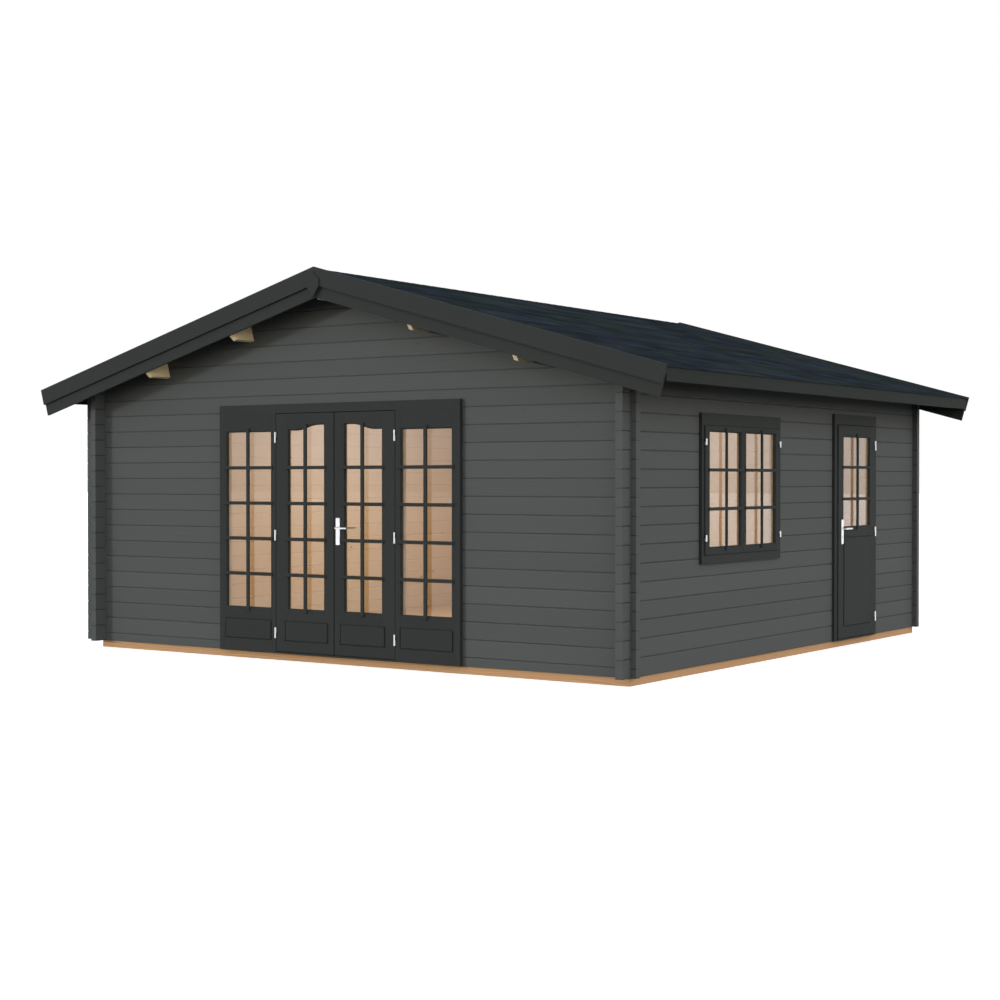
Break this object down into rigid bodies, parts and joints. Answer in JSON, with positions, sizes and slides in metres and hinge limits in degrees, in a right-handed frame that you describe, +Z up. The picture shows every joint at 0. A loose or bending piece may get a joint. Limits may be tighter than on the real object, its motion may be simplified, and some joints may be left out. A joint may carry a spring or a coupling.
{
  "type": "log cabin",
  "caption": "Gabled timber log cabin with interlocked corners, glazed double doors, a casement window and a side door.",
  "frame": {"origin": "middle of the cabin's plan, on the ground under the base beams", "axes": "+Z up, the gable with the double doors faces -Y, the side with the window and the single door faces +X"},
  "size_m": [6.1784, 5.894, 3.0875],
  "materials": {
    "wall_stain": "satin grey stain on sawn and planed logs",
    "joinery_paint": "satin dark grey paint",
    "roof_felt": "mineral grit on bitumen",
    "bare_pine": "planed bare pine",
    "base_timber": "pressure treated timber",
    "hinge_steel": "satin steel",
    "glass": "clear"
  },
  "bodies": {
    "cabin": {"front_wall_left": "wall_stain", "front_wall_right": "wall_stain", "front_gable": "wall_stain", "back_wall": "wall_stain", "left_wall": "wall_stain", "right_wall_front": "wall_stain", "right_wall_sill": "wall_stain", "right_wall_middle": "wall_stain", "right_wall_rear": "wall_stain", "right_wall_top": "wall_stain", "eave_boards": "joinery_paint", "bargeboards_left": "joinery_paint", "bargeboards_right": "joinery_paint", "inner_barges_left": "joinery_paint", "inner_barges_right": "joinery_paint", "apex_plates": "joinery_paint", "frame_posts": "joinery_paint", "frame_heads": "joinery_paint", "casing_sides": "joinery_paint", "casing_heads": "joinery_paint", "side_lights": "joinery_paint", "window_sashes": "joinery_paint", "roof_felt_left": "roof_felt", "roof_felt_right": "roof_felt", "floor": "bare_pine", "ridge_purlin": "bare_pine", "left_purlins": "bare_pine", "right_purlins": "bare_pine", "roof_boards_left": "bare_pine", "roof_boards_right": "bare_pine", "base_sides": "base_timber", "base_ends": "base_timber", "floor_joists": "base_timber", "thresholds": "base_timber", "fixed_hinges": "hinge_steel", "fixed_glass": "glass"},
    "left_leaf": {"front_door_left": "joinery_paint", "left_door_glass": "glass", "left_door_hinges": "hinge_steel"},
    "right_leaf": {"front_door_right": "joinery_paint", "right_door_glass": "glass", "right_door_hinges": "hinge_steel", "front_handle_plates": "hinge_steel"},
    "front_handle": {"front_lever": "hinge_steel"},
    "side_leaf": {"side_door": "joinery_paint", "side_door_glass": "glass", "side_door_hinges": "hinge_steel", "side_handle_plates": "hinge_steel"},
    "side_handle": {"side_lever": "hinge_steel"}
  },
  "joints": [
    {"name": "front_door_left_hinge", "type": "hinge", "parent": "cabin", "child": "left_leaf", "pos_m": [-0.6025, -2.707, 1], "axis": [0, 0, -1], "range_deg": [0, 115]},
    {"name": "front_door_right_hinge", "type": "hinge", "parent": "cabin", "child": "right_leaf", "pos_m": [0.6025, -2.707, 1], "axis": [0, 0, 1], "range_deg": [0, 115]},
    {"name": "side_door_hinge", "type": "hinge", "parent": "cabin", "child": "side_leaf", "pos_m": [2.695, 1.613, 1], "axis": [0, 0, 1], "range_deg": [0, 115]},
    {"name": "front_lever_turn", "type": "hinge", "parent": "right_leaf", "child": "front_handle", "pos_m": [0.042, -2.678, 1.072], "axis": [0, 1, 0], "range_deg": [0, 40], "stiffness_Nm_per_rad": 1.6, "springref_deg": -22.92},
    {"name": "side_lever_turn", "type": "hinge", "parent": "side_leaf", "child": "side_handle", "pos_m": [2.666, 0.8955, 1.026], "axis": [-1, 0, 0], "range_deg": [0, 40], "stiffness_Nm_per_rad": 1.6, "springref_deg": -22.92}
  ]
}
